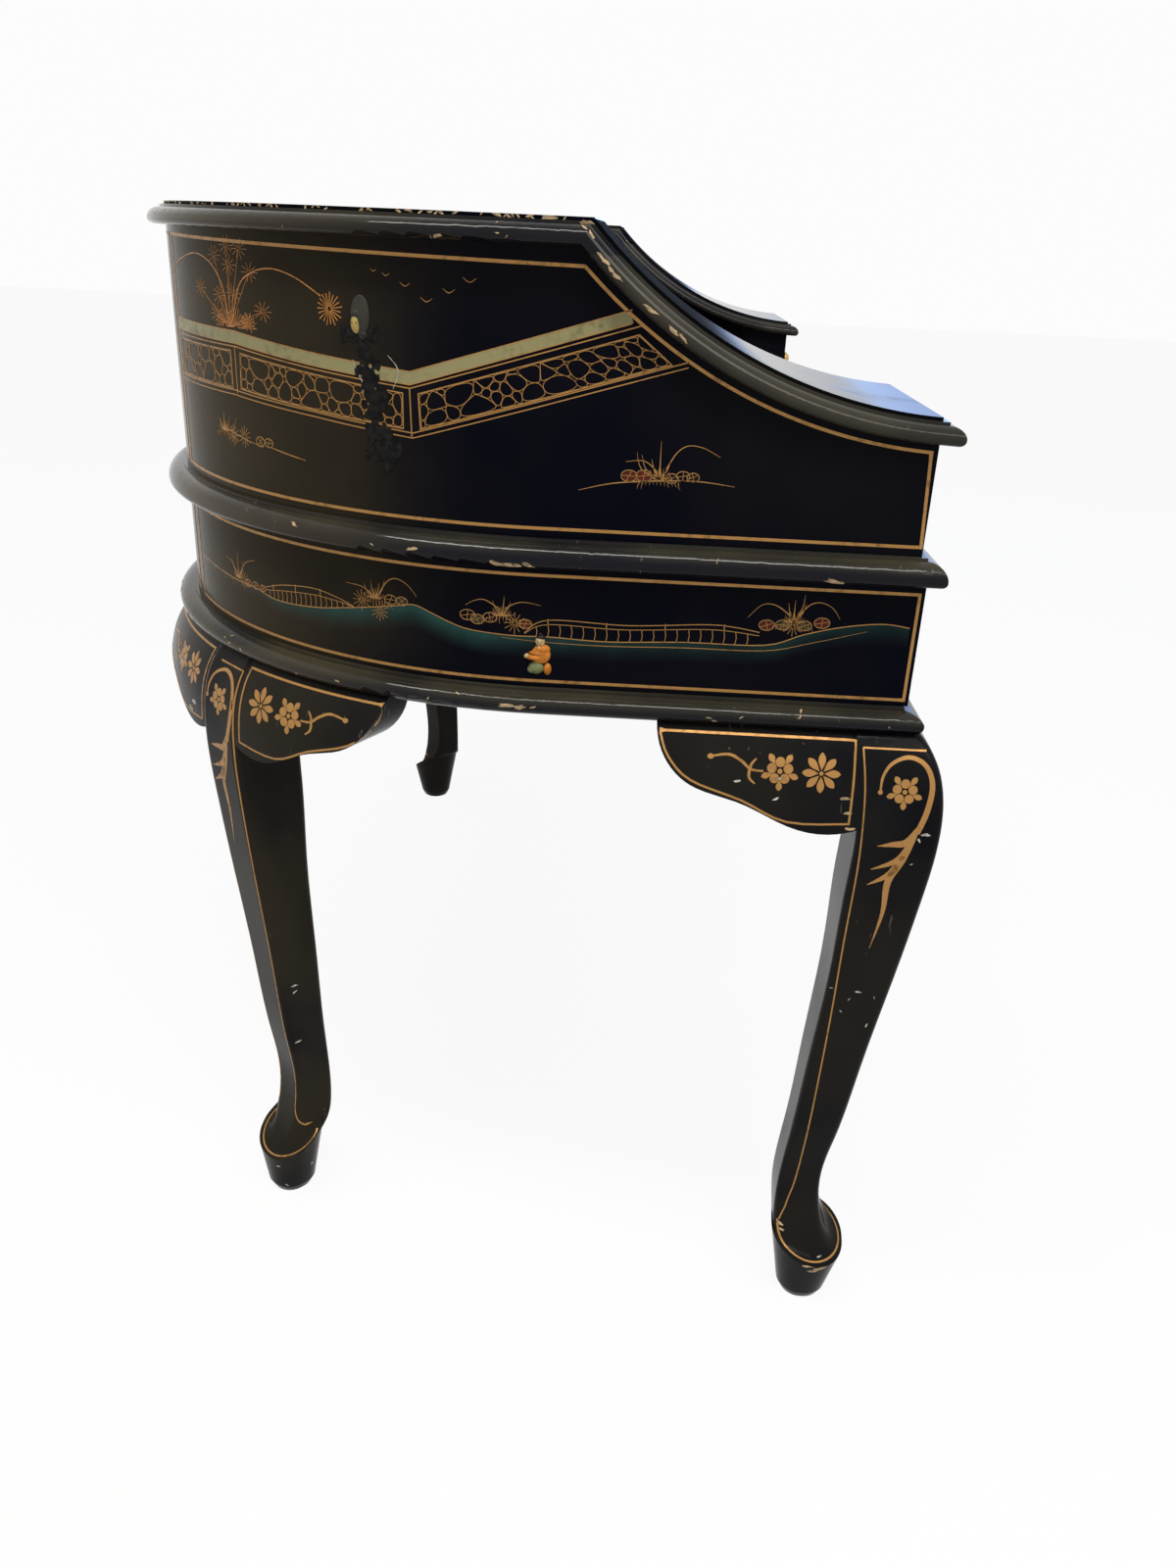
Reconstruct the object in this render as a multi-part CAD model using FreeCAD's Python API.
import FreeCAD, Part
import math
import os

from FreeCAD import Rotation, Vector

# A bow-backed writing desk: a frieze with three drawers on four cabriole legs, and on its top a gallery
# with sloping wings, a bank of small drawers and two concave corner doors.
# Working frame: X across the desk from its middle, Y from the frieze front towards the back, Z up.
# Sizes are in millimetres.

# Plan
WIDTH = 1240.0            # over the two side panels
DEPTH = 670.0             # frieze front to the outside of the back panel
BOW_RADIUS = 380.0        # rounded rear corners
EDGE_SETBACK = 7.0        # front edges of the base board and desk top behind the frieze front

# Heights, from the floor up
LEG_HEIGHT = 607.0
BASE_THICK = 19.0
FRIEZE_HEIGHT = 99.0
DESK_TOP_THICK = 21.0
GALLERY_HEIGHT = 201.0
TOP_THICK = 18.0

# Boards
PANEL = 16.0              # outer panels
INNER_WALL = 14.0         # wing walls and doors
PARTITION = 12.0          # bank partitions, shelves and bulkheads

# Mouldings: how far the nose stands out, its lower and upper radii and the small step above it
BASE_NOSE = 18.0
BASE_NOSE_LOWER = 8.5
DESK_NOSE = 18.0
DESK_NOSE_LOWER = 5.0
TOP_NOSE = 15.0
TOP_NOSE_LOWER = 5.0
NOSE_STEP = 2.0           # height of the fillet above the round
NOSE_STEP_WIDTH = 4.0     # width of the fillet's flat
QUARTER_HANDLE = 0.5523   # handle of a curve that rounds a quarter turn, as a share of its radius
CAP_REVEAL = 2.5          # board edge that shows above the top moulding
DESK_REVEAL = 1.0         # the same above the desk moulding

# Gallery
GALLERY_SETBACK = 7.0     # gallery front behind the frieze front
WING_WIDTH = 212.0        # outer panel to the inner face of the wing wall
WING_PEAK = 0.391 * DEPTH     # frieze front to the top of the wing's slope
WING_END_DROP = 119.5     # height lost from the peak to the wing's front end
WING_SAG = 31.0           # depth of the slope's hollow below its chord
BANK_SETBACK = 0.627 * DEPTH  # frieze front to the face of the drawer bank
CORNER_RADIUS = 120.0     # concave inner corners
SHELF_HEIGHT = 92.0       # pigeonholes under the bank drawers

# Legs: how far the faces stand inside (or, if negative, outside) the panel planes
KNEE_REACH = 34.5
LEG_CORNER = 6.0          # rounding of the leg's edges
LEG_TOP_OUTER = -11.0
LEG_TOP_INNER = 44.0
SHOULDER_OUTER = -30.0    # half way between the leg's top and the knee
KNEE_DROP = 67.0          # leg's top to the fullest part of the knee
KNEE_HEIGHT = LEG_HEIGHT - KNEE_DROP
KNEE_INNER = 33.0
SHIN_HEIGHT = 0.659 * LEG_HEIGHT
SHIN_OUTER = -23.0
SHIN_INNER = 34.0
ANKLE_HEIGHT = 112.0
ANKLE_OUTER = 6.8
ANKLE_INNER = 49.0
INSTEP = ((98.0, 3.5, 7.0, 9.0), (83.0, 13.0, 17.0, 17.0))  # ankle to pad: heights, spreads, tilts, corner radii
SHIN_TAPER = ((0.40, 0.46, 0.36), (0.72, 0.81, 0.68))  # shin to ankle: shares of drop, outer and inner step
FOOT_INSET = 13.5         # centre of a front pad foot inside the panel planes
REAR_FOOT_INSET = 5.0     # centre of a rear foot's sole inside the bow
REAR_RIM_INSET = 8.0      # centre of its rim
FOOT_RIM = 38.5           # half width of the pad
FOOT_RIM_HEIGHT = 70.0    # at the middle of the tilted rim
FOOT_TILT = 27.0          # the toe lies lower than the heel
REAR_FOOT_TILT = 34.0
FOOT_SOLE = 20.0          # half width of the sole
FOOT_EDGE = 8.0           # height of the sole's rounded edge
FOOT_ROUNDNESS = 0.93     # corner radius of the pad as a share of its half width
REAR_LEG_ANGLE = 45.0     # where the rear legs stand on the bow, from the side
REAR_TOP_WIDTH = 60.0
REAR_ANKLE_WIDTH = 42.0

# Dowels between the legs and the base board
DOWEL_RADIUS = 5.0
DOWEL_IN_LEG = 35.0
DOWEL_IN_BOARD = 13.0
DOWEL_SPREAD = 8.0        # from the middle of the leg's top

# Knee brackets
BRACKET_LENGTH = 152.5    # front brackets, past the leg's top edge
REAR_BRACKET_LENGTH = 148.0
BRACKET_DROP = 75.0
BRACKET_BACK = 14.0       # inner face behind the panel plane
BRACKET_REVEAL = 1.0      # its face behind the knee's
BRACKET_ROOT = 18.0       # length shaped to the leg's side, past the leg's top edge
BRACKET_SCALLOP = ((1.0, 0.0), (0.955, 0.32), (0.83, 0.58), (0.55, 0.77), (0.30, 1.0))  # shares of length, drop
BRACKET_ROOT_SHARE = 0.97 # share of the drop at the leg

# Drawers
POST_WIDTH = 34.0
DIVIDER = 20.0
CENTRE_OPENING = 500.0
SIDE_DRAWER_DEPTH = 0.567 * DEPTH
CENTRE_DRAWER_DEPTH = 0.642 * DEPTH
DIVIDER_DEPTH = 0.687 * DEPTH
BANK_DRAWER_DEPTH = 0.284 * DEPTH
WING_DRAWER_DEPTH = 0.336 * DEPTH
DRAWER_FRONT = 15.0
FRIEZE_DRAWER_SIDE = 9.0
SMALL_DRAWER_SIDE = 7.0
DRAWER_BOTTOM = 5.0
DRAWER_TOP_DROP = 12.0    # box sides below the top edge of the front
RUNNER_WIDTH = 18.0
RUNNER_HEIGHT = 6.0

# Doors
DOOR_PIN_RADIUS = 3.0
DOOR_PIN_REACH = 10.0     # length of pin in the door and in the board
DOOR_PIN_ANGLE = 8.0      # pin's place on the concave corner, from the wing wall
DOOR_KNOB_ANGLE = 74.0

# Knobs
KNOB_RADIUS = 9.0
KNOB_LENGTH = 19.0
KNOB_CROWN = 7.2          # height of the domed end
KNOB_NECK = 4.5           # radius of the waist
KNOB_NECK_LOW = 4.2       # where the waist starts and ends, from the wood
KNOB_NECK_HIGH = 8.0
KNOB_FLANGE = 7.2         # radius of the collar on the wood
KNOB_COLLAR = 2.3         # height of the collar's edge
KNOB_SPACING = 0.56       # share of a wide drawer's front between its two knobs
KNOB_SPIGOT = 4.0         # radius of the knob's shank
KNOB_SPIGOT_DEPTH = 9.0   # length of shank in the wood

# Applied stone figure on the side of the frieze
FIGURE_HEIGHT = 36.0
FIGURE_WIDTH = 22.0       # over the hem of the robe
FIGURE_WAIST = 13.0       # width at the waist
FIGURE_SHOULDERS = 18.5   # width over the sleeves
FIGURE_NECK = 9.0         # width where the head sits
FIGURE_HEAD = 9.6         # across the head
FIGURE_WAIST_HEIGHT = 22.0
FIGURE_SLEEVE_HEIGHT = 17.0
FIGURE_NECK_HEIGHT = 28.0
FIGURE_RELIEF = 7.0
FIGURE_DROP = 50.0        # desk top's underside to the top of its head

# Clearances
DRAWER_GAP = 1.0          # around a drawer front
SIDE_GAP = 1.5            # beside a drawer box
RUN_GAP = 0.3             # under a drawer that slides on its seat
DOOR_GAP = 2.0            # around a door
PIN_GAP = 0.05            # round a door pin
DOOR_STEPS = 1.0          # degrees left free at each end of a door

# Heights worked out from the stack
BASE_TOP = LEG_HEIGHT + BASE_THICK
FRIEZE_TOP = BASE_TOP + FRIEZE_HEIGHT
DESK_TOP = FRIEZE_TOP + DESK_TOP_THICK
GALLERY_TOP = DESK_TOP + GALLERY_HEIGHT
HEIGHT = GALLERY_TOP + TOP_THICK

HALF = WIDTH / 2.0
BOW_X = HALF - BOW_RADIUS
BOW_Y = DEPTH - BOW_RADIUS
INNER_X = HALF - WING_WIDTH              # inner face of the wing walls
CORNER_X = INNER_X - CORNER_RADIUS       # centre of the concave corners
CORNER_Y = BANK_SETBACK - CORNER_RADIUS
SHELF_TOP = DESK_TOP + SHELF_HEIGHT + PARTITION
UP = Vector(0, 0, 1)
BIG = 4.0 * (WIDTH + DEPTH + HEIGHT)

# The overall box runs from the knees to the back of the mouldings, and its middle is the origin.
FRONT_Y = (KNEE_REACH - DEPTH - max(BASE_NOSE, DESK_NOSE)) / 2.0


def point(x, y, z=0.0):
    return Vector(x, y, z)


def wire_of(edges):
    return Part.Wire(Part.__sortEdges__(edges))


def line(a, b):
    return Part.LineSegment(a, b).toShape()


def arc(a, middle, b):
    return Part.Arc(a, middle, b).toShape()


def spline(points):
    curve = Part.BSplineCurve()
    curve.interpolate(points)
    return curve.toShape()


def box(x0, x1, y0, y1, z0, z1):
    corner = point(min(x0, x1), min(y0, y1), min(z0, z1))
    return Part.makeBox(abs(x1 - x0), abs(y1 - y0), abs(z1 - z0), corner)


def mirrored(shape):
    return shape.mirror(Vector(0, 0, 0), Vector(1, 0, 0))


def fused(shapes):
    solid = shapes[0].multiFuse(shapes[1:]) if len(shapes) > 1 else shapes[0]
    return solid.removeSplitter()


def half_space(origin, normal):
    """A very large block on the normal's side of a plane."""
    block = Part.makeBox(BIG, BIG, BIG, point(-BIG / 2.0, -BIG / 2.0, 0.0))
    block.Placement = FreeCAD.Placement(origin, Rotation(UP, normal))
    return block


def polar(centre, radius, degrees, z=0.0):
    angle = math.radians(degrees)
    return point(centre.x + radius * math.cos(angle), centre.y + radius * math.sin(angle), z)


def arc_about(centre, radius, start, end, z=0.0):
    middle = (start + end) / 2.0
    ends = [polar(centre, radius, angle, z) for angle in (start, middle, end)]
    return arc(*ends)


# Plan outlines

def plan_outline(inset, front, z):
    """The desk's D-shaped outline, straight in front and rounded behind."""
    x = HALF - inset
    back = DEPTH - inset
    radius = BOW_RADIUS - inset
    left = point(-BOW_X, BOW_Y)
    right = point(BOW_X, BOW_Y)
    return wire_of([
        line(point(-x, front, z), point(x, front, z)),
        line(point(x, front, z), point(x, BOW_Y, z)),
        arc_about(right, radius, 0, 90, z),
        line(point(BOW_X, back, z), point(-BOW_X, back, z)),
        arc_about(left, radius, 90, 180, z),
        line(point(-x, BOW_Y, z), point(-x, front, z)),
    ])


def plan_board(inset, front, z0, z1):
    return Part.Face(plan_outline(inset, front, z0)).extrude(UP * (z1 - z0))


def side_panel(front, z0, z1):
    """Left panel: straight from the front, then round the rear corner."""
    centre = point(-BOW_X, BOW_Y)
    inner = BOW_RADIUS - PANEL
    outline = wire_of([
        line(point(-HALF, front, z0), point(-HALF, BOW_Y, z0)),
        arc_about(centre, BOW_RADIUS, 180, 90, z0),
        line(point(-BOW_X, DEPTH, z0), point(-BOW_X, DEPTH - PANEL, z0)),
        arc_about(centre, inner, 90, 180, z0),
        line(point(-HALF + PANEL, BOW_Y, z0), point(-HALF + PANEL, front, z0)),
        line(point(-HALF + PANEL, front, z0), point(-HALF, front, z0)),
    ])
    return Part.Face(outline).extrude(UP * (z1 - z0))


def back_panel(z0, z1):
    return box(-BOW_X, BOW_X, DEPTH - PANEL, DEPTH, z0, z1)


# Mouldings

def nose_profile(height, nose, lower):
    """Moulding section in X (outwards) and Z (up): flat base, round nose, then a small fillet."""
    shoulder = height - NOSE_STEP
    upper_width = nose - NOSE_STEP_WIDTH
    upper_height = shoulder - lower
    low_middle = point(nose - lower * (1 - math.sqrt(0.5)), 0, lower * (1 - math.sqrt(0.5)))
    upper = Part.BezierCurve()
    upper.setPoles([
        point(nose, 0, lower),
        point(nose, 0, lower + QUARTER_HANDLE * upper_height),
        point(NOSE_STEP_WIDTH + QUARTER_HANDLE * upper_width, 0, shoulder),
        point(NOSE_STEP_WIDTH, 0, shoulder),
    ])
    return Part.Face(wire_of([
        line(point(0, 0, 0), point(nose - lower, 0, 0)),
        arc(point(nose - lower, 0, 0), low_middle, point(nose, 0, lower)),
        upper.toShape(),
        line(point(NOSE_STEP_WIDTH, 0, shoulder), point(NOSE_STEP_WIDTH, 0, height)),
        line(point(NOSE_STEP_WIDTH, 0, height), point(0, 0, height)),
        line(point(0, 0, height), point(0, 0, 0)),
    ]))


def placed(shape, origin, degrees):
    copy = shape.copy()
    copy.Placement = FreeCAD.Placement(origin, Rotation(UP, degrees))
    return copy


def straight_run(profile, start, outward, length):
    """Moulding along a straight edge. It runs to the left of its outward direction, in degrees."""
    face = placed(profile, start, outward)
    angle = math.radians(outward + 90.0)
    return face.extrude(Vector(math.cos(angle), math.sin(angle), 0) * length)


def bow_run(profile, centre, radius, outward, sweep):
    """Moulding round a vertical axis, from one outward direction over a sweep in degrees."""
    face = placed(profile, polar(centre, radius, outward, centre.z), outward)
    return face.revolve(centre, UP, sweep)


def rear_runs(profile, z, side_start):
    """Moulding from a place on the right side, round the back, to the same place on the left side."""
    left = point(-BOW_X, BOW_Y, z)
    right = point(BOW_X, BOW_Y, z)
    return [
        straight_run(profile, point(HALF, side_start, z), 0, BOW_Y - side_start),
        bow_run(profile, right, BOW_RADIUS, 0, 90),
        straight_run(profile, point(BOW_X, DEPTH, z), 90, 2 * BOW_X),
        bow_run(profile, left, BOW_RADIUS, 90, 90),
        straight_run(profile, point(-HALF, BOW_Y, z), 180, BOW_Y - side_start),
    ]


def ring_moulding(height, nose, lower, z):
    """Moulding all round the desk, mitred at the two front corners."""
    profile = nose_profile(height, nose, lower)
    front = straight_run(profile, point(-HALF - nose, EDGE_SETBACK, z), 270, WIDTH + 2 * nose)
    runs = rear_runs(profile, z, EDGE_SETBACK - nose)
    for side, run in ((1, 0), (-1, -1)):
        corner = point(side * HALF, EDGE_SETBACK, z)
        across = Vector(-side, -1, 0)
        runs[run] = runs[run].cut(half_space(corner, across))
        front = front.cut(half_space(corner, across * -1))
    return fused(runs + [front])


# The wing's slope: an arc in the YZ plane from the peak down to the front end

def slope_circle():
    end = point(0, GALLERY_SETBACK - TOP_NOSE, HEIGHT - WING_END_DROP)
    peak = point(0, WING_PEAK, HEIGHT)
    chord = peak - end
    radius = chord.Length ** 2 / (8 * WING_SAG) + WING_SAG / 2.0
    upward = Vector(0, -chord.z, chord.y)
    upward.normalize()
    centre = (peak + end) * 0.5 + upward * (radius - WING_SAG)
    return centre, radius


SLOPE_CENTRE, SLOPE_RADIUS = slope_circle()
UNDER_RADIUS = SLOPE_RADIUS + TOP_THICK


def slope_point(radius, y):
    """The point of a slope arc above a given Y."""
    rise = math.sqrt(radius ** 2 - (y - SLOPE_CENTRE.y) ** 2)
    return point(0, y, SLOPE_CENTRE.z - rise)


def slope_reach(radius, z):
    """The Y at which a slope arc comes up to a height."""
    return SLOPE_CENTRE.y + math.sqrt(radius ** 2 - (SLOPE_CENTRE.z - z) ** 2)


PEAK = point(0, WING_PEAK, HEIGHT)
UNDER_PEAK = point(0, slope_reach(UNDER_RADIUS, GALLERY_TOP), GALLERY_TOP)


def slope_arc(radius, start, end):
    middle = slope_point(radius, (start.y + end.y) / 2.0)
    return arc(start, middle, end)


def across_x(outline, x0, x1):
    face = Part.Face(outline)
    face.translate(Vector(min(x0, x1), 0, 0))
    return face.extrude(Vector(abs(x1 - x0), 0, 0))


def above_slope():
    """Everything above the underside of the wing tops and in front of their peak."""
    front = slope_point(UNDER_RADIUS, GALLERY_SETBACK)
    ceiling = HEIGHT + TOP_THICK
    return across_x(wire_of([
        slope_arc(UNDER_RADIUS, front, UNDER_PEAK),
        line(UNDER_PEAK, point(0, UNDER_PEAK.y, ceiling)),
        line(point(0, UNDER_PEAK.y, ceiling), point(0, -DEPTH, ceiling)),
        line(point(0, -DEPTH, ceiling), point(0, -DEPTH, front.z)),
        line(point(0, -DEPTH, front.z), front),
    ]), -WIDTH, WIDTH)


def before_peak():
    """Half space in front of the mitre between a wing top and the flat top."""
    along = PEAK - UNDER_PEAK
    return half_space(PEAK, Vector(0, -along.z, along.y))


def behind_peak():
    along = PEAK - UNDER_PEAK
    return half_space(PEAK, Vector(0, along.z, -along.y))


def wing_top_left():
    top_front = slope_point(SLOPE_RADIUS, GALLERY_SETBACK)
    under_front = slope_point(UNDER_RADIUS, GALLERY_SETBACK)
    return across_x(wire_of([
        slope_arc(SLOPE_RADIUS, top_front, PEAK),
        line(PEAK, UNDER_PEAK),
        slope_arc(UNDER_RADIUS, under_front, UNDER_PEAK),
        line(under_front, top_front),
    ]), -HALF, -INNER_X)


def top_profile():
    return nose_profile(TOP_THICK - CAP_REVEAL, TOP_NOSE, TOP_NOSE_LOWER)


def slope_start():
    """Angle of the slope at the wing's front end, from level."""
    return math.degrees(math.asin((GALLERY_SETBACK - SLOPE_CENTRE.y) / UNDER_RADIUS))


def slope_edge(x, outward):
    """Moulding up one edge of the left wing to the peak, and its straight end past the wing's front."""
    profile = top_profile()
    if outward < 0:
        profile = mirrored(profile)
    axis = Vector(1, 0, 0)
    start = slope_start()
    centre = SLOPE_CENTRE + axis * x
    profile.translate(centre - UP * UNDER_RADIUS)
    profile.rotate(centre, axis, start)
    steepest = math.degrees(math.atan2(PEAK.y - SLOPE_CENTRE.y, SLOPE_CENTRE.z - PEAK.z))
    rise = profile.revolve(centre, axis, steepest - start).cut(behind_peak())
    tangent = Rotation(axis, start).multVec(Vector(0, -1, 0))
    return rise, profile.extrude(tangent * (2 * TOP_NOSE))


def wing_moulding_left():
    """Moulding up both edges of the left wing and across its front end, mitred at the corners."""
    front = slope_point(UNDER_RADIUS, GALLERY_SETBACK)
    axis = Vector(1, 0, 0)
    forward = Rotation(axis, slope_start()).multVec(Vector(0, -1, 0))
    profile = top_profile()
    profile.rotate(Vector(0, 0, 0), UP, 270)
    profile.rotate(Vector(0, 0, 0), axis, slope_start())
    profile.translate(point(-HALF - TOP_NOSE, front.y, front.z))
    nosing = profile.extrude(Vector(WING_WIDTH + 2 * TOP_NOSE, 0, 0))
    pieces = []
    for x, outward in ((-HALF, -1), (-INNER_X, 1)):
        corner = point(x, front.y, front.z)
        mitre = forward - Vector(outward, 0, 0)
        rise, end = slope_edge(x, outward)
        pieces += [rise, end.cut(half_space(corner, mitre))]
        nosing = nosing.cut(half_space(corner, mitre * -1))
    return fused(pieces + [nosing])


def top_moulding_outer():
    runs = rear_runs(top_profile(), GALLERY_TOP, WING_PEAK - TOP_THICK)
    return fused(runs).cut(before_peak())


def top_moulding_inner():
    """Moulding along the recess: up each wing's flat end, round the concave corners and across the bank."""
    profile = top_profile()
    z = GALLERY_TOP
    side_start = WING_PEAK - TOP_THICK
    length = CORNER_Y - side_start
    inside = mirrored(profile)
    runs = [
        straight_run(profile, point(-INNER_X, side_start, z), 0, length),
        straight_run(profile, point(INNER_X, CORNER_Y, z), 180, length),
        straight_run(profile, point(-CORNER_X, BANK_SETBACK, z), 270, 2 * CORNER_X),
        bow_run(inside, point(-CORNER_X, CORNER_Y, z), CORNER_RADIUS, 90, 90),
        bow_run(inside, point(CORNER_X, CORNER_Y, z), CORNER_RADIUS, 0, 90),
    ]
    return fused(runs).cut(before_peak())


def gallery_top():
    """Flat top behind the wings' peaks, open in front over the writing recess."""
    board = plan_board(0.0, GALLERY_SETBACK, GALLERY_TOP, HEIGHT)
    recess = wire_of([
        line(point(-INNER_X, -DEPTH, GALLERY_TOP), point(-INNER_X, CORNER_Y, GALLERY_TOP)),
        arc_about(point(-CORNER_X, CORNER_Y), CORNER_RADIUS, 180, 90, GALLERY_TOP),
        line(point(-CORNER_X, BANK_SETBACK, GALLERY_TOP), point(CORNER_X, BANK_SETBACK, GALLERY_TOP)),
        arc_about(point(CORNER_X, CORNER_Y), CORNER_RADIUS, 90, 0, GALLERY_TOP),
        line(point(INNER_X, CORNER_Y, GALLERY_TOP), point(INNER_X, -DEPTH, GALLERY_TOP)),
        line(point(INNER_X, -DEPTH, GALLERY_TOP), point(-INNER_X, -DEPTH, GALLERY_TOP)),
    ])
    opening = Part.Face(recess).extrude(UP * TOP_THICK)
    return board.cut(opening).cut(before_peak())


# Legs

def rounded_section(u0, u1, v0, v1, radius, z):
    """A rectangle with rounded corners at height z."""
    r = radius
    k = r * (1 - math.sqrt(0.5))
    return Part.Wire([
        line(point(u0 + r, v0, z), point(u1 - r, v0, z)),
        arc(point(u1 - r, v0, z), point(u1 - k, v0 + k, z), point(u1, v0 + r, z)),
        line(point(u1, v0 + r, z), point(u1, v1 - r, z)),
        arc(point(u1, v1 - r, z), point(u1 - k, v1 - k, z), point(u1 - r, v1, z)),
        line(point(u1 - r, v1, z), point(u0 + r, v1, z)),
        arc(point(u0 + r, v1, z), point(u0 + k, v1 - k, z), point(u0, v1 - r, z)),
        line(point(u0, v1 - r, z), point(u0, v0 + r, z)),
        arc(point(u0, v0 + r, z), point(u0 + k, v0 + k, z), point(u0 + r, v0, z)),
    ])


def leg_stations():
    """Heights with the outer and inner faces of the leg, from its top to the ankle."""
    shoulder = (LEG_HEIGHT + KNEE_HEIGHT) / 2.0
    calf = (SHIN_HEIGHT + KNEE_HEIGHT) / 2.0
    taper = [
        (SHIN_HEIGHT + (ANKLE_HEIGHT - SHIN_HEIGHT) * drop,
         SHIN_OUTER + (ANKLE_OUTER - SHIN_OUTER) * outer,
         SHIN_INNER + (ANKLE_INNER - SHIN_INNER) * inner)
        for drop, outer, inner in SHIN_TAPER
    ]
    return [
        (LEG_HEIGHT, LEG_TOP_OUTER, LEG_TOP_INNER),
        (shoulder, SHOULDER_OUTER, (LEG_TOP_INNER + KNEE_INNER) / 2.0),
        (KNEE_HEIGHT, -KNEE_REACH, KNEE_INNER),
        (calf, (SHIN_OUTER - 2 * KNEE_REACH) / 3.0, (KNEE_INNER + SHIN_INNER) / 2.0),
        (SHIN_HEIGHT, SHIN_OUTER, SHIN_INNER),
        *taper,
        (ANKLE_HEIGHT, ANKLE_OUTER, ANKLE_INNER),
    ]


def foot_section(centre, half, z):
    """A nearly round section of the pad foot."""
    u, v = centre
    return rounded_section(u - half, u + half, v - half, v + half, FOOT_ROUNDNESS * half, z)


def tilt_to_toe(section, centre, z, tilt, toe):
    """Turns a section about its middle, down towards the toe."""
    section.rotate(point(*centre, z), Vector(-toe.y, toe.x, 0), tilt)


def leg_solid(sections, rim_centre, sole_centre, toe, tilt):
    """A leg through its sections, flaring into the pad's rim, with the pad tapering to its sole."""
    rim = foot_section(rim_centre, FOOT_RIM, FOOT_RIM_HEIGHT)
    tilt_to_toe(rim, rim_centre, FOOT_RIM_HEIGHT, tilt, toe)
    edge = foot_section(sole_centre, FOOT_SOLE + FOOT_EDGE / 2.0, FOOT_EDGE)
    sole = foot_section(sole_centre, FOOT_SOLE, 0)
    upper = Part.makeLoft(sections + [rim], False, False)
    pad = Part.makeLoft([rim, edge, sole], False, True)
    skin = Part.makeShell(upper.Faces + pad.Faces + [Part.Face(sections[0]), Part.Face(sole)])
    skin.sewShape()
    leg = Part.makeSolid(skin)
    if leg.Volume < 0:
        leg.reverse()
    return leg


def front_leg_left():
    toe = Vector(-1, -1, 0).normalize()
    sections = [rounded_section(a, b, a, b, LEG_CORNER, z) for z, a, b in leg_stations()]
    middle = (ANKLE_OUTER + ANKLE_INNER) / 2.0
    for z, spread, tilt, corner in INSTEP:
        outer = ANKLE_OUTER - spread
        section = rounded_section(outer, ANKLE_INNER, outer, ANKLE_INNER, corner, z)
        tilt_to_toe(section, (middle, middle), z, tilt, toe)
        sections.append(section)
    foot = (FOOT_INSET, FOOT_INSET)
    leg = leg_solid(sections, foot, foot, toe, FOOT_TILT)
    leg.translate(point(-HALF, 0, 0))
    return leg


def bow_frame(shape, degrees):
    """Moves a shape to a place on the left bow, from its own frame: X inwards and Y away from the side."""
    outward = 180.0 - degrees
    place = polar(point(-BOW_X, BOW_Y), BOW_RADIUS, outward)
    copy = shape.copy()
    copy.Placement = FreeCAD.Placement(place, Rotation(UP, outward + 180.0))
    return copy


def rear_leg_left():
    toe = Vector(-1, 0, 0)
    sections = []
    drop = LEG_HEIGHT - ANKLE_HEIGHT
    for z, a, b in leg_stations():
        share = min((LEG_HEIGHT - z) / drop, 1.0)
        half = (REAR_TOP_WIDTH + (REAR_ANKLE_WIDTH - REAR_TOP_WIDTH) * share) / 2.0
        sections.append(rounded_section(a, b, -half, half, LEG_CORNER, z))
    for z, spread, tilt, corner in INSTEP:
        half = (REAR_ANKLE_WIDTH + spread) / 2.0
        section = rounded_section(ANKLE_OUTER - spread, ANKLE_INNER, -half, half, corner, z)
        steeper = tilt * REAR_FOOT_TILT / FOOT_TILT
        tilt_to_toe(section, ((ANKLE_OUTER + ANKLE_INNER) / 2.0, 0.0), z, steeper, toe)
        sections.append(section)
    leg = leg_solid(sections, (REAR_RIM_INSET, 0.0), (REAR_FOOT_INSET, 0.0), toe, REAR_FOOT_TILT)
    return bow_frame(leg, REAR_LEG_ANGLE)


def leg_dowels():
    """Two dowels in the top of each leg, side by side along the panel."""
    middle = (LEG_TOP_INNER + LEG_TOP_OUTER) / 2.0
    low = LEG_HEIGHT - DOWEL_IN_LEG
    length = DOWEL_IN_LEG + DOWEL_IN_BOARD
    dowels = []
    for step in (-DOWEL_SPREAD, DOWEL_SPREAD):
        front = Part.makeCylinder(DOWEL_RADIUS, length, point(middle + step, middle, low))
        front.translate(point(-HALF, 0, 0))
        rear = Part.makeCylinder(DOWEL_RADIUS, length, point(middle, step, low))
        dowels += [front, bow_frame(rear, REAR_LEG_ANGLE)]
    return dowels + [mirrored(dowel) for dowel in dowels]


# Knee brackets

def bracket_section():
    """Section of a bracket: X outwards from the panel plane, Z up. It swells like the knee beside it."""
    swell = [point(-outer - BRACKET_REVEAL, 0, z) for z, outer, inner in leg_stations()[:5]]
    top = swell[0]
    foot = swell[-1]
    return Part.Face(wire_of([
        spline(swell),
        line(foot, point(-BRACKET_BACK, 0, foot.z)),
        line(point(-BRACKET_BACK, 0, foot.z), point(-BRACKET_BACK, 0, top.z)),
        line(point(-BRACKET_BACK, 0, top.z), top),
    ]))


def bracket_outline(start, length):
    """Shaped outline of a bracket: Y along it from the leg's top edge, Z up."""
    top = LEG_HEIGHT
    tip = point(0, start + length, top)
    root = point(0, start - BRACKET_ROOT, top)
    low_root = root - UP * (BRACKET_ROOT_SHARE * BRACKET_DROP)
    scallop = [point(0, start + along * length, top - down * BRACKET_DROP) for along, down in BRACKET_SCALLOP]
    return wire_of([
        spline(scallop + [low_root]),
        line(low_root, root),
        line(root, tip),
    ])


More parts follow.
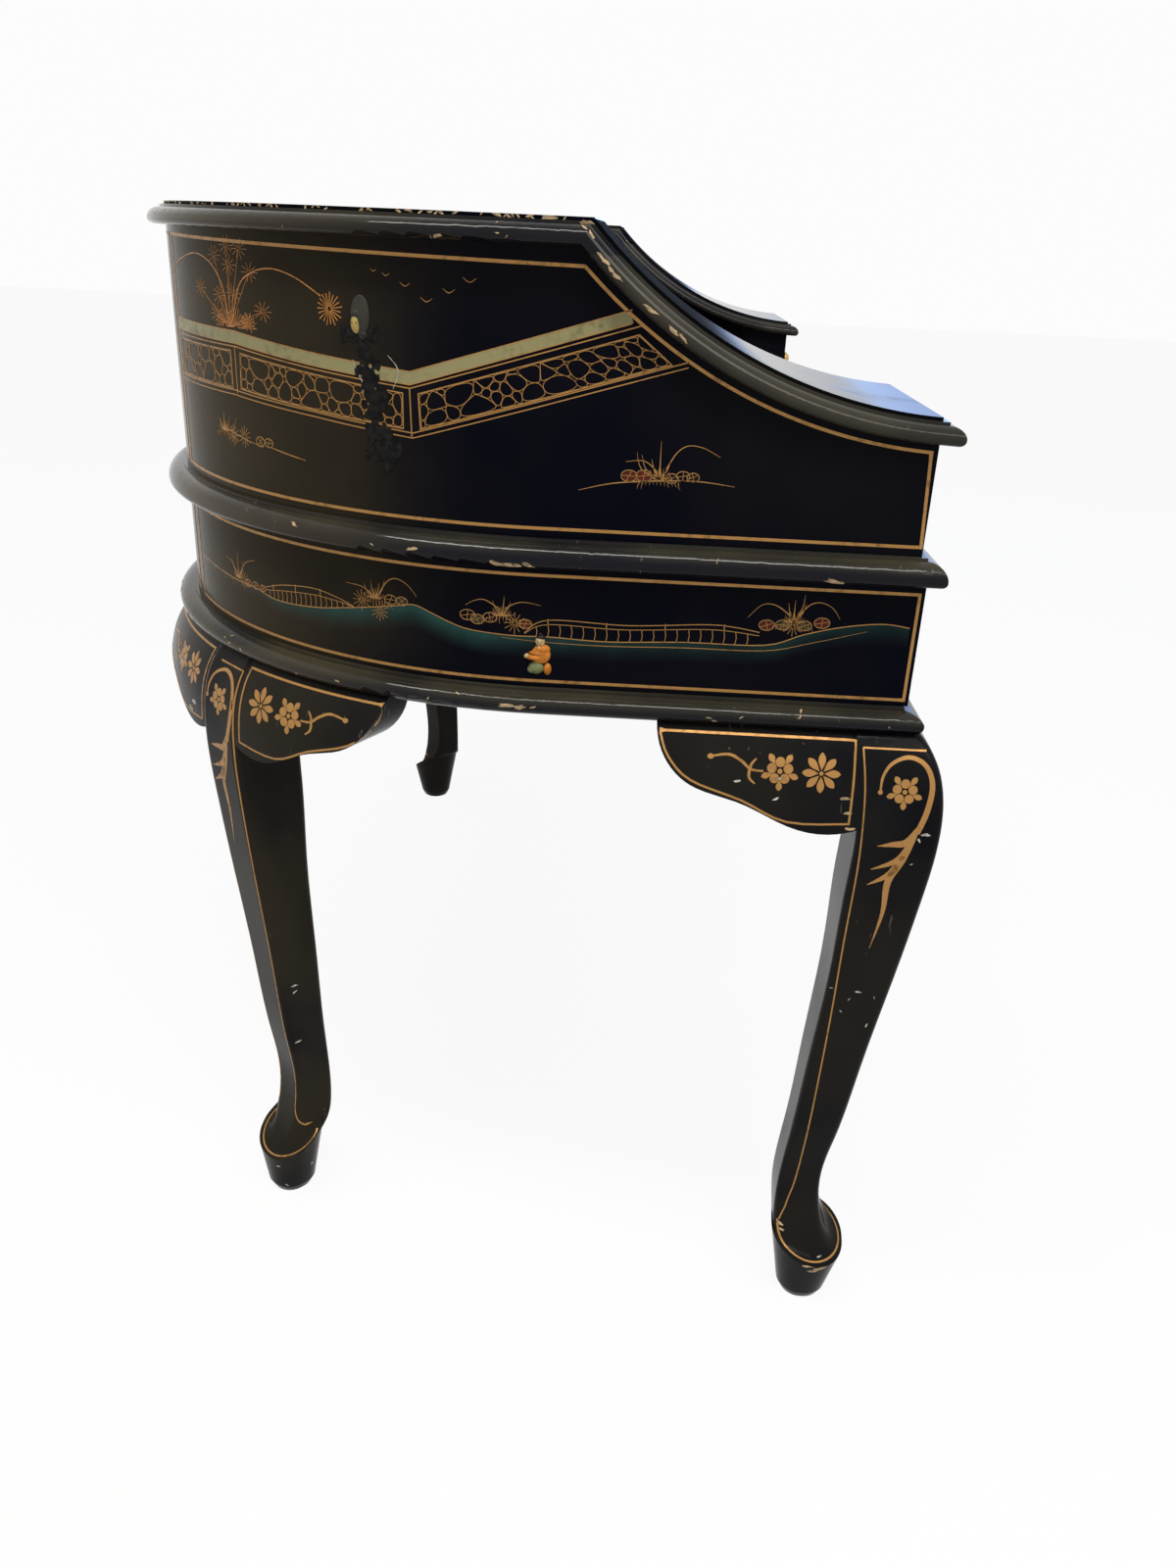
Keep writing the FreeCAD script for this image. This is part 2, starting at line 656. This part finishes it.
def straight_bracket_left(leg):
    """Bracket behind the left front leg, along the side and cut to the leg."""
    run = BRACKET_LENGTH + 2 * LEG_TOP_INNER
    stock = straight_run(bracket_section(), point(-HALF, run, 0), 180, run)
    reach = KNEE_REACH + BRACKET_BACK
    outline = across_x(bracket_outline(LEG_TOP_INNER, BRACKET_LENGTH), -HALF - reach, -HALF + reach)
    return stock.common(outline).cut(leg)


def turned_bracket(bracket):
    """The side bracket mirrored about the corner's diagonal, so that it runs along the front."""
    corner = point(-HALF, 0, 0)
    return bracket.mirror(corner, Vector(1, -1, 0))


def bow_brackets_left(leg):
    """Brackets on both sides of the left rear leg, curved with the bow and cut to the leg."""
    half = REAR_BRACKET_LENGTH / 2.0
    reach = KNEE_REACH + BRACKET_BACK
    centre = point(-BOW_X, BOW_Y, 0)
    turn = math.degrees((REAR_TOP_WIDTH / 2.0 + half) / BOW_RADIUS)
    brackets = []
    for side in (-1, 1):
        middle = REAR_LEG_ANGLE + side * turn
        stock = bow_run(bracket_section(), centre, BOW_RADIUS, 180.0 - middle - turn, 2 * turn)
        outline = across_x(bracket_outline(-half, REAR_BRACKET_LENGTH), -reach, BOW_RADIUS / 2.0)
        if side < 0:
            outline = outline.mirror(Vector(0, 0, 0), Vector(0, 1, 0))
        brackets.append(stock.common(bow_frame(outline, middle)).cut(leg))
    return brackets


# Knobs and the applied figure

def knob(origin, toward):
    """A turned knob on a surface, standing out in a direction, with its shank in the wood."""
    dome = (KNOB_RADIUS ** 2 + KNOB_CROWN ** 2) / (2 * KNOB_CROWN)
    half_turn = math.asin(KNOB_RADIUS / dome) / 2.0
    dome_middle = point(dome * math.sin(half_turn), 0, KNOB_LENGTH - dome * (1 - math.cos(half_turn)))
    widest = point(KNOB_RADIUS, 0, KNOB_LENGTH - KNOB_CROWN)
    end = point(0, 0, KNOB_LENGTH)
    turned = [
        end,
        point(0, 0, -KNOB_SPIGOT_DEPTH),
        point(KNOB_SPIGOT, 0, -KNOB_SPIGOT_DEPTH),
        point(KNOB_SPIGOT, 0, 0),
        point(KNOB_FLANGE, 0, 0),
        point(KNOB_FLANGE, 0, KNOB_COLLAR),
        point(KNOB_NECK, 0, KNOB_NECK_LOW),
        point(KNOB_NECK, 0, KNOB_NECK_HIGH),
        widest,
    ]
    edges = [line(a, b) for a, b in zip(turned, turned[1:])]
    profile = wire_of(edges + [arc(widest, dome_middle, end)])
    solid = Part.Face(profile).revolve(Vector(0, 0, 0), UP, 360)
    solid.Placement = FreeCAD.Placement(origin, Rotation(UP, toward))
    return solid


def knob_hole(origin, toward):
    return Part.makeCylinder(KNOB_SPIGOT, KNOB_SPIGOT_DEPTH, origin, toward * -1)


def relief_figure():
    """A small carved figure laid on the left side, where the panel starts to curve: robe, sleeves and head."""
    base = FRIEZE_TOP - FIGURE_DROP - FIGURE_HEIGHT
    head = FIGURE_HEAD / 2.0
    skirt = Part.makeCone(FIGURE_WIDTH / 2.0, FIGURE_WAIST / 2.0, FIGURE_WAIST_HEIGHT)
    chest = Part.makeCone(FIGURE_SHOULDERS / 2.0, FIGURE_NECK / 2.0, FIGURE_NECK_HEIGHT - FIGURE_SLEEVE_HEIGHT,
                          point(0, 0, FIGURE_SLEEVE_HEIGHT))
    face = Part.makeSphere(head, point(0, 0, FIGURE_HEIGHT - head))
    body = fused([skirt, chest, face])
    flat = FreeCAD.Matrix()
    flat.scale(2.0 * FIGURE_RELIEF / FIGURE_WIDTH, 1.0, 1.0)
    relief = body.transformGeometry(flat).cut(half_space(Vector(0, 0, 0), Vector(1, 0, 0)))
    relief.translate(point(-HALF, BOW_Y, base))
    return relief


# Drawers

def drawer(x0, x1, z0, z1, front, depth, side, seat, knob_count):
    """Front, box and knobs of a drawer in an opening. The box slides on a seat at its own height."""
    a = x0 + DRAWER_GAP
    b = x1 - DRAWER_GAP
    low = z0 + DRAWER_GAP
    high = z1 - DRAWER_GAP
    back = front + DRAWER_FRONT
    end = front + depth
    left = x0 + SIDE_GAP
    right = x1 - SIDE_GAP
    foot = seat + RUN_GAP
    rim = high - DRAWER_TOP_DROP
    floor = foot + DRAWER_BOTTOM
    face = box(a, b, front, back, low, high)
    sides = [
        box(left, left + side, back, end, foot, rim),
        box(right - side, right, back, end, foot, rim),
        box(left + side, right - side, end - side, end, foot, rim),
        box(left + side, right - side, back, end - side, foot, floor),
    ]
    middle = (a + b) / 2.0
    spread = (b - a) * KNOB_SPACING / 2.0
    places = [middle] if knob_count == 1 else [middle - spread, middle + spread]
    toward = Vector(0, -1, 0)
    knobs = []
    for x in places:
        seat_point = point(x, front, (low + high) / 2.0)
        knobs.append(knob(seat_point, toward))
        face = face.cut(knob_hole(seat_point, toward))
    return face, Part.makeCompound(sides), Part.makeCompound(knobs)


POST_X = HALF - PANEL - POST_WIDTH
CENTRE_X = CENTRE_OPENING / 2.0
BANK_X = CORNER_X - PARTITION
BANK_OPENING = (2 * BANK_X - 2 * PARTITION) / 3.0
RUNNER_TOP = BASE_TOP + RUNNER_HEIGHT


def frieze_drawers():
    spans = {
        "left": (-POST_X, -CENTRE_X - DIVIDER, SIDE_DRAWER_DEPTH),
        "centre": (-CENTRE_X, CENTRE_X, CENTRE_DRAWER_DEPTH),
        "right": (CENTRE_X + DIVIDER, POST_X, SIDE_DRAWER_DEPTH),
    }
    return {
        "frieze_drawer_" + name: drawer(x0, x1, BASE_TOP, FRIEZE_TOP, 0.0, depth, FRIEZE_DRAWER_SIDE,
                                        RUNNER_TOP, 2)
        for name, (x0, x1, depth) in spans.items()
    }


def bank_drawers():
    made = {}
    for index, name in enumerate(("left", "centre", "right")):
        x0 = -BANK_X + index * (BANK_OPENING + PARTITION)
        made["bank_drawer_" + name] = drawer(
            x0, x0 + BANK_OPENING, SHELF_TOP, GALLERY_TOP, BANK_SETBACK, BANK_DRAWER_DEPTH,
            SMALL_DRAWER_SIDE, SHELF_TOP, 1)
    return made


def wing_drawers():
    ceiling = slope_point(UNDER_RADIUS, GALLERY_SETBACK).z
    outer = HALF - PANEL
    inner = INNER_X + INNER_WALL
    return {
        "wing_drawer_" + name: drawer(x0, x1, DESK_TOP, ceiling, GALLERY_SETBACK, WING_DRAWER_DEPTH,
                                      SMALL_DRAWER_SIDE, DESK_TOP, 1)
        for name, x0, x1 in (("left", -outer, -inner), ("right", inner, outer))
    }


def frieze_posts():
    """End posts and the two dividers between the frieze drawers."""
    solids = []
    for side in (-1, 1):
        outer = side * (HALF - PANEL)
        solids.append(box(outer, side * POST_X, 0, POST_WIDTH, BASE_TOP, FRIEZE_TOP))
        edge = side * CENTRE_X
        solids.append(box(edge, edge + side * DIVIDER, 0, DIVIDER_DEPTH, BASE_TOP, FRIEZE_TOP))
    return Part.makeCompound(solids)


def drawer_runners():
    """Strips under the sides of each frieze drawer, behind its front."""
    start = DRAWER_FRONT + DRAWER_GAP
    spans = ((-POST_X, -CENTRE_X - DIVIDER, SIDE_DRAWER_DEPTH),
             (-CENTRE_X, CENTRE_X, CENTRE_DRAWER_DEPTH),
             (CENTRE_X + DIVIDER, POST_X, SIDE_DRAWER_DEPTH))
    solids = []
    for x0, x1, depth in spans:
        solids.append(box(x0, x0 + RUNNER_WIDTH, start, depth, BASE_TOP, RUNNER_TOP))
        solids.append(box(x1 - RUNNER_WIDTH, x1, start, depth, BASE_TOP, RUNNER_TOP))
    return Part.makeCompound(solids)


# Gallery insides

def wing_wall_left():
    wall = box(-INNER_X - INNER_WALL, -INNER_X, GALLERY_SETBACK, CORNER_Y, DESK_TOP, GALLERY_TOP)
    return wall.cut(above_slope())


def gallery_partitions():
    """Bank partitions, and the bulkheads behind the wing drawers."""
    back = DEPTH - PANEL
    solids = []
    for side in (-1, 1):
        end = side * BANK_X
        solids.append(box(end, end + side * PARTITION, BANK_SETBACK, back, DESK_TOP, GALLERY_TOP))
        inner = side * BANK_OPENING / 2.0
        solids.append(box(inner, inner + side * PARTITION, BANK_SETBACK, back, DESK_TOP, GALLERY_TOP))
        start = GALLERY_SETBACK + WING_DRAWER_DEPTH + SIDE_GAP
        bulkhead = box(side * (INNER_X + INNER_WALL), side * (HALF - PANEL), start, start + PARTITION,
                       DESK_TOP, GALLERY_TOP)
        solids.append(bulkhead.cut(above_slope()))
    return inside_case(solids)


def inside_case(solids):
    """Cuts boards to the inside of the gallery's outer panels."""
    room = plan_board(PANEL, GALLERY_SETBACK, DESK_TOP, GALLERY_TOP)
    return Part.makeCompound([solid.common(room) for solid in solids])


def bank_shelves():
    back = DEPTH - PANEL
    solids = []
    for index in range(3):
        x0 = -BANK_X + index * (BANK_OPENING + PARTITION)
        solids.append(box(x0, x0 + BANK_OPENING, BANK_SETBACK, back, SHELF_TOP - PARTITION, SHELF_TOP))
    return inside_case(solids)


# Corner doors

DOOR_CENTRE = point(-CORNER_X, CORNER_Y)
DOOR_MIDDLE = CORNER_RADIUS + INNER_WALL / 2.0
DOOR_AXIS = polar(DOOR_CENTRE, DOOR_MIDDLE, 180.0 - DOOR_PIN_ANGLE)
DOOR_LOW = DESK_TOP + DOOR_GAP
DOOR_HIGH = GALLERY_TOP - DOOR_GAP


def door_pins_left():
    height = 2 * DOOR_PIN_REACH + DOOR_GAP
    low = Part.makeCylinder(DOOR_PIN_RADIUS, height, DOOR_AXIS + UP * (DESK_TOP - DOOR_PIN_REACH))
    high = Part.makeCylinder(DOOR_PIN_RADIUS, height, DOOR_AXIS + UP * (DOOR_HIGH - DOOR_PIN_REACH))
    return [low, high]


def door_left():
    """A concave door on two pins near the wing, with its free edge cut to the swing of its corner."""
    outer = CORNER_RADIUS + INNER_WALL
    first = 180.0 - DOOR_STEPS
    last = 90.0 + DOOR_STEPS
    outline = wire_of([
        arc_about(DOOR_CENTRE, CORNER_RADIUS, first, last, DOOR_LOW),
        line(polar(DOOR_CENTRE, CORNER_RADIUS, last, DOOR_LOW), polar(DOOR_CENTRE, outer, last, DOOR_LOW)),
        arc_about(DOOR_CENTRE, outer, last, first, DOOR_LOW),
        line(polar(DOOR_CENTRE, outer, first, DOOR_LOW), polar(DOOR_CENTRE, CORNER_RADIUS, first, DOOR_LOW)),
    ])
    door = Part.Face(outline).extrude(UP * (DOOR_HIGH - DOOR_LOW))
    swing = (polar(DOOR_CENTRE, CORNER_RADIUS, last) - DOOR_AXIS).Length
    door = door.common(Part.makeCylinder(swing, HEIGHT, DOOR_AXIS))
    bore = DOOR_PIN_RADIUS + PIN_GAP
    depth = DOOR_PIN_REACH + PIN_GAP
    for z in (DOOR_LOW, DOOR_HIGH - depth):
        door = door.cut(Part.makeCylinder(bore, depth, DOOR_AXIS + UP * z))
    place, toward = door_knob_place()
    return door.cut(knob_hole(place, toward))


def door_knob_place():
    """Where the knob's collar rests on the hollow face by its rim."""
    height = (DOOR_LOW + DOOR_HIGH) / 2.0
    seat = math.sqrt(CORNER_RADIUS ** 2 - KNOB_FLANGE ** 2)
    place = polar(DOOR_CENTRE, seat, 180.0 - DOOR_KNOB_ANGLE, height)
    toward = DOOR_CENTRE + UP * height - place
    return place, toward.normalize()


def export(name, shape):
    moved = shape.copy()
    moved.translate(Vector(0, FRONT_Y, 0))
    moved.exportStep(os.path.join("parts", name + ".step"))


def export_pair(name, shape):
    export(name + "_left", shape)
    export(name + "_right", mirrored(shape))


def export_drawers(drawers):
    for name, (face, sides, knobs) in drawers.items():
        export(name + "_front", face)
        export(name + "_box", sides)
        export(name + "_knobs", knobs)


def export_base():
    front_leg = front_leg_left()
    rear_leg = rear_leg_left()
    side = straight_bracket_left(front_leg)
    front = [side, turned_bracket(side)]
    rear = bow_brackets_left(rear_leg)
    dowels = leg_dowels()
    board = plan_board(0.0, EDGE_SETBACK, LEG_HEIGHT, BASE_TOP)
    for dowel in dowels:
        board = board.cut(dowel)
        front_leg = front_leg.cut(dowel)
        rear_leg = rear_leg.cut(dowel)
    export_pair("leg_front", front_leg)
    export_pair("leg_rear", rear_leg)
    export("knee_brackets_front", Part.makeCompound(front + [mirrored(b) for b in front]))
    export("knee_brackets_rear", Part.makeCompound(rear + [mirrored(b) for b in rear]))
    export("leg_dowels", Part.makeCompound(dowels))
    export("base_board", board)
    export("base_moulding", ring_moulding(BASE_THICK, BASE_NOSE, BASE_NOSE_LOWER, LEG_HEIGHT))


def export_frieze():
    figure = relief_figure()
    export_pair("frieze_side", side_panel(0.0, BASE_TOP, FRIEZE_TOP))
    export("frieze_back", back_panel(BASE_TOP, FRIEZE_TOP))
    export("frieze_posts", frieze_posts())
    export("drawer_runners", drawer_runners())
    export("relief_figures", Part.makeCompound([figure, mirrored(figure)]))
    export_drawers(frieze_drawers())


def export_desk_top():
    pins = door_pins_left()
    pins += [mirrored(pin) for pin in pins]
    desk = plan_board(0.0, EDGE_SETBACK, FRIEZE_TOP, DESK_TOP)
    top = gallery_top()
    for pin in pins:
        desk = desk.cut(pin)
        top = top.cut(pin)
    export("desk_top", desk)
    nosing = ring_moulding(DESK_TOP_THICK - DESK_REVEAL, DESK_NOSE, DESK_NOSE_LOWER, FRIEZE_TOP)
    export("desk_top_moulding", nosing)
    export("gallery_top", top)
    export("door_pins", Part.makeCompound(pins))


def export_gallery():
    side = side_panel(GALLERY_SETBACK, DESK_TOP, GALLERY_TOP).cut(above_slope())
    export_pair("gallery_side", side)
    export("gallery_back", back_panel(DESK_TOP, GALLERY_TOP))
    export_pair("wing_wall", wing_wall_left())
    export_pair("wing_top", wing_top_left())
    export_pair("wing_moulding", wing_moulding_left())
    export("top_moulding_outer", top_moulding_outer())
    export("top_moulding_inner", top_moulding_inner())
    export("gallery_partitions", gallery_partitions())
    export("bank_shelves", bank_shelves())
    export_drawers(bank_drawers())
    export_drawers(wing_drawers())


def export_doors():
    place, toward = door_knob_place()
    export_pair("corner_door", door_left())
    export_pair("door_knob", knob(place, toward))


os.makedirs("parts", exist_ok=True)
export_base()
export_frieze()
export_desk_top()
export_gallery()
export_doors()
